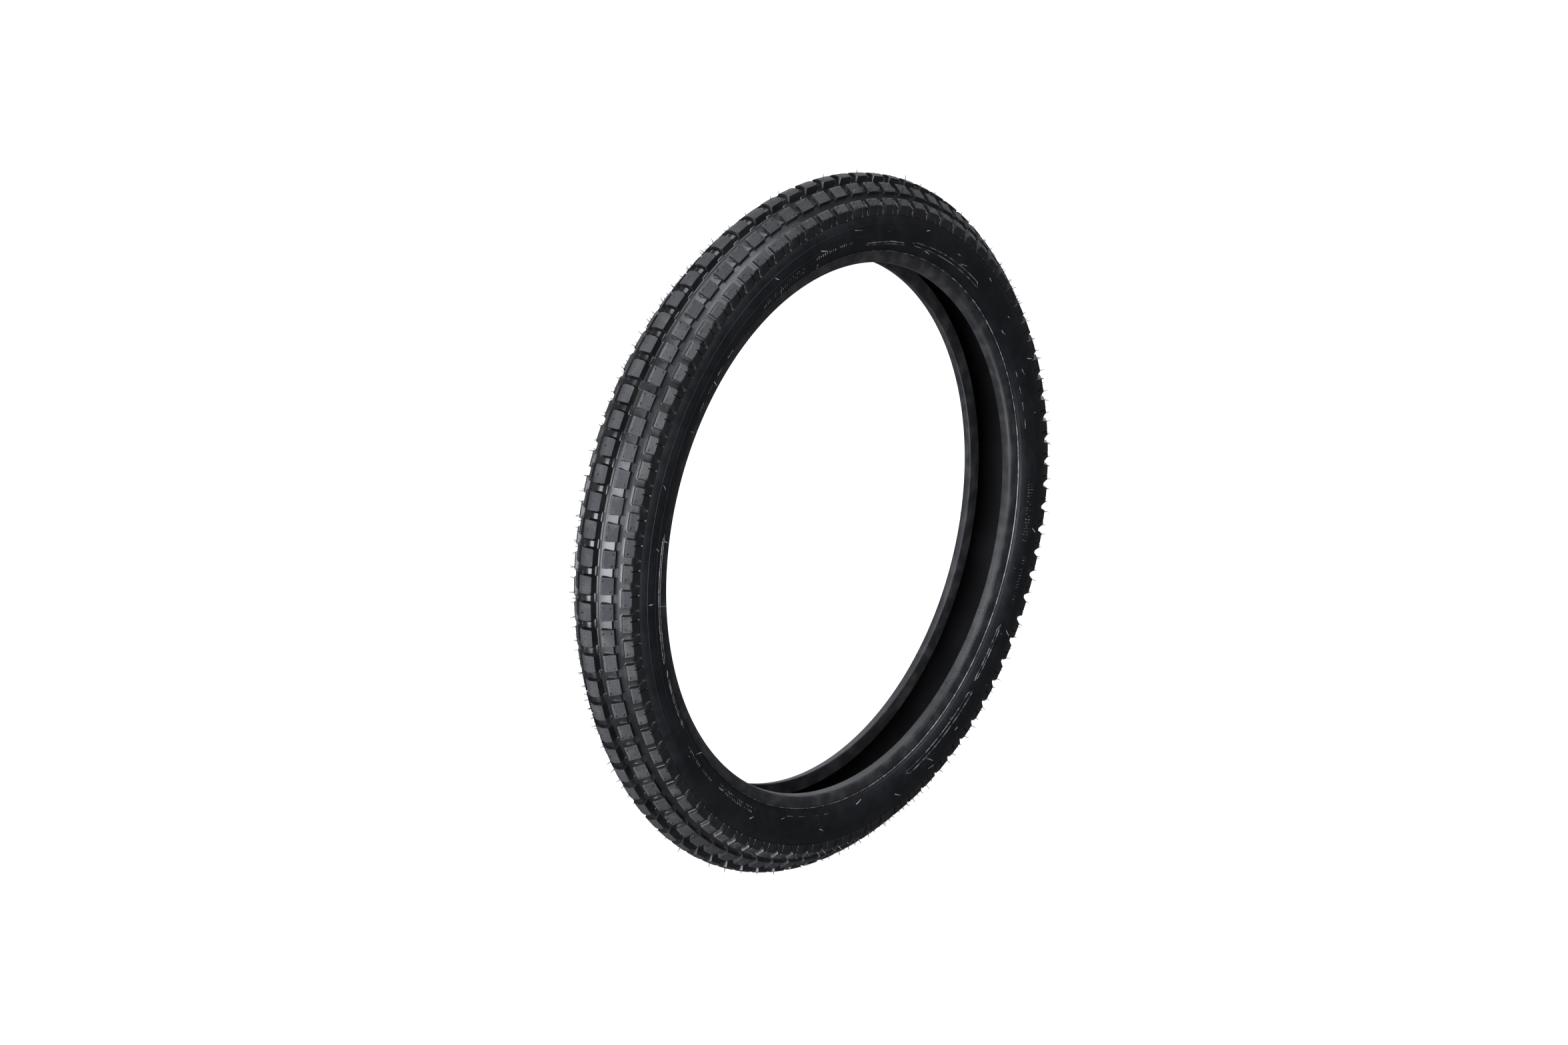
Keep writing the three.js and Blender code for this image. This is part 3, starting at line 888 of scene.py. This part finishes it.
def chafer_outline():
    """The cloth from the inner face, round the toe, over the seat and round the heel."""
    toe = arc((BEAD_RADIUS + TOE_ROUND, BEAD_INNER + TOE_ROUND), TOE_ROUND, 270, 180, 5)
    heel = arc((seat_heel + HEEL_ROUND, bead_outer - HEEL_ROUND), HEEL_ROUND, 180, 90, 8)
    path = np.vstack([[(bead_top - GAP, BEAD_INNER)], [(bead_top - 3, BEAD_INNER)], toe, heel,
                      [(flange_top - 2.2, bead_outer)], [(flange_top, bead_outer)]])
    return layer(path, 0, CHAFER)


def chafer(name, side):
    soup = Soup()
    outline = chafer_outline()
    lathe(soup, outline if side > 0 else mirrored(outline), PIECE_FACETS)
    shown(name + "_piece", soup.mesh(name), [chafer_cloth()], name)


def hoop(turn):
    foot = core_foot + turn * (HOOP_HEIGHT + GAP)
    inner, outer = BEAD_INNER + core_at, bead_outer - core_at
    return np.array([(foot, inner), (foot, outer), (foot + HOOP_HEIGHT, outer), (foot + HOOP_HEIGHT, inner)])


def bead_wrap():
    path = np.vstack([[(core_top, BEAD_INNER)], bead_foot, [(core_top, bead_outer)]])
    return layer(path, casing_skin, casing_skin + WRAP)


def filler():
    skin = offset(half_casing, casing_skin)
    foot = core_top + GAP
    return np.vstack([[(foot, BEAD_INNER + casing_skin)], skin[BEAD_TOP:int(KNEE) - 1:-1],
                      [skin[-1]], [skin[FLANGE_TOP]], [(foot, bead_outer - casing_skin)]])


def across_layer(near, thickness, reach):
    return layer(casing, near, near + thickness, CROWN - reach, CROWN + reach)


def casing_rings():
    """Every layer under the skin, as a smooth ring in place of its faceted solid."""
    gum, ply_a, ply_b = gum_rubber(), ply_cloth("ply_cloth_a", 0.8), ply_cloth("ply_cloth_b", -0.8)
    wire, cloth = bronzed_wire(), chafer_cloth()
    ring("tread_cushion", across_layer(cushion_at, CUSHION, HAUNCH), "gum", gum)
    ring("breaker_outer", across_layer(outer_breaker_at, BREAKER, HAUNCH * 0.88), "ply_nylon", ply_a)
    ring("breaker_inner", across_layer(inner_breaker_at, BREAKER, HAUNCH), "ply_nylon", ply_b)
    ring("carcass_ply_outer", across_layer(outer_ply_at, PLY, CROWN - 0.25), "ply_nylon", ply_a)
    ring("carcass_ply_inner", across_layer(inner_ply_at, PLY, CROWN), "ply_nylon", ply_b)
    ring("inner_liner", across_layer(0, LINER, BEAD_TOP - seam), "liner_rubber", liner_rubber(), PIECE_FACETS)
    for name, side in SIDES.items():
        turn = (lambda outline: outline) if side > 0 else mirrored
        ring(f"bead_filler_{name}", turn(filler()), "gum", gum)
        ring(f"bead_wrap_{name}", turn(bead_wrap()), "chafer_fabric", cloth)
        for k in range(HOOPS):
            ring(f"bead_wire_{name}_{k + 1}", turn(hoop(k)), "bead_wire", wire)


# ---------------------------------------------------------------- setting

CAMERA_DISTANCE = 3.6415  # metres, as is everything below
CAMERA_AZIMUTH = math.radians(-50.73)
CAMERA_ELEVATION = math.radians(17.11)
CAMERA_LENS = 98.76
CAMERA_SHIFT = (-0.0249, 0.0020)
STUDIO_REACH = 30.0
STUDIO_HEIGHT = 40.0
FLOOR_GAP = 0.004  # from the floor to the lowest block
COOL_WHITE = (0.9, 0.93, 1.0)


def camera():
    data = bpy.data.cameras.new("camera")
    data.sensor_width = 36
    data.lens = CAMERA_LENS
    data.shift_x, data.shift_y = CAMERA_SHIFT
    data.clip_end = 100
    eye = bpy.data.objects.new("camera", data)
    flat = math.cos(CAMERA_ELEVATION)
    back = Vector((math.sin(CAMERA_AZIMUTH) * flat, -math.cos(CAMERA_AZIMUTH) * flat,
                   math.sin(CAMERA_ELEVATION)))
    eye.location = back * CAMERA_DISTANCE
    eye.rotation_euler = (-back).to_track_quat("-Z", "Y").to_euler()
    bpy.context.scene.collection.objects.link(eye)
    bpy.context.scene.camera = eye


def soft_light(name, place, size, power):
    """A square softbox that faces the tyre."""
    data = bpy.data.lights.new(name, "AREA")
    data.shape = "SQUARE"
    data.size = size
    data.energy = power
    data.color = COOL_WHITE
    lamp = bpy.data.objects.new(name, data)
    lamp.location = place
    lamp.rotation_euler = (-Vector(place)).to_track_quat("-Z", "Y").to_euler()
    lamp.visible_camera = False
    bpy.context.scene.collection.objects.link(lamp)


def unlit(name, corners, faces, paper):
    """Part of the studio's pale surroundings: seen, but neither lighting nor mirrored."""
    mesh = bpy.data.meshes.new(name)
    mesh.from_pydata(corners, [], faces)
    mesh.materials.append(paper)
    sheet = bpy.data.objects.new(name, mesh)
    sheet.visible_diffuse = False
    sheet.visible_glossy = False
    sheet.visible_shadow = False
    bpy.context.scene.collection.objects.link(sheet)


def setting():
    reach, level = STUDIO_REACH, cad_bounds[0][2] - FLOOR_GAP
    square = [(-reach, -reach), (reach, -reach), (reach, reach), (-reach, reach)]
    low = [(x, y, level) for x, y in square]
    high = [(x, y, level + STUDIO_HEIGHT) for x, y in square]
    walls = [(k, (k + 1) % 4, (k + 1) % 4 + 4, k + 4) for k in range(4)]
    unlit("floor", low, [(0, 1, 2, 3)], floor_paper("floor_paper"))
    unlit("backdrop", low + high, walls, floor_paper("backdrop_paper"))

    world = bpy.data.worlds.new("studio")
    world.use_nodes = True
    sky = world.node_tree.nodes["Background"]
    sky.inputs["Color"].default_value = (*COOL_WHITE, 1)
    sky.inputs["Strength"].default_value = 0.12
    bpy.context.scene.world = world
    bpy.context.scene.view_settings.view_transform = "Standard"

    soft_light("left_box", (-2.8, -0.6, 0.1), 2.4, 225)
    soft_light("overhead_box", (-0.2, -0.6, 3.0), 2.6, 110)
    soft_light("back_box", (2.2, 1.8, 1.0), 2.4, 30)


camera()
setting()
tread()
for side_name, side_sign in SIDES.items():
    sidewall(f"sidewall_{side_name}", side_sign)
    chafer(f"chafer_{side_name}", side_sign)
casing_rings()
